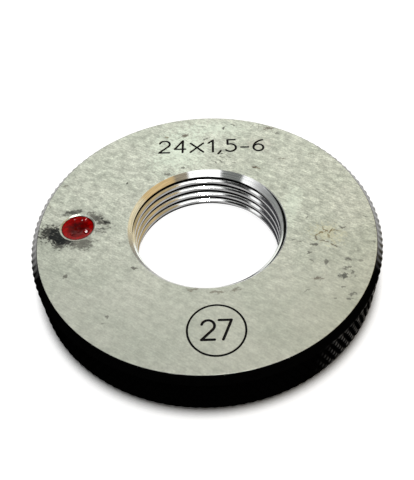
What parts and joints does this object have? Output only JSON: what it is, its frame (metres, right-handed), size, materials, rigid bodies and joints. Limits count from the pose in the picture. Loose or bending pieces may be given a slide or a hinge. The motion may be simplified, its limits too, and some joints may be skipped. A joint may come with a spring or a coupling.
{
  "type": "thread ring gauge",
  "caption": "Thread ring gauge: a flat hardened steel ring with a fine internal thread, diamond-knurled black rim, engraved size and a red enamel mark.",
  "frame": {"origin": "centre of the back face, on the bore's axis", "axes": "+Z along the bore and out of the marked face, +Y towards the engraved size"},
  "size_m": [0.053, 0.053, 0.008],
  "materials": {
    "ring_steel": "ground faces and bore, black oxide on the knurled rim and its chamfers",
    "red_enamel": "glossy red enamel"
  },
  "bodies": {
    "root": {"gauge_ring": "ring_steel", "marker_enamel": "red_enamel"}
  },
  "joints": []
}
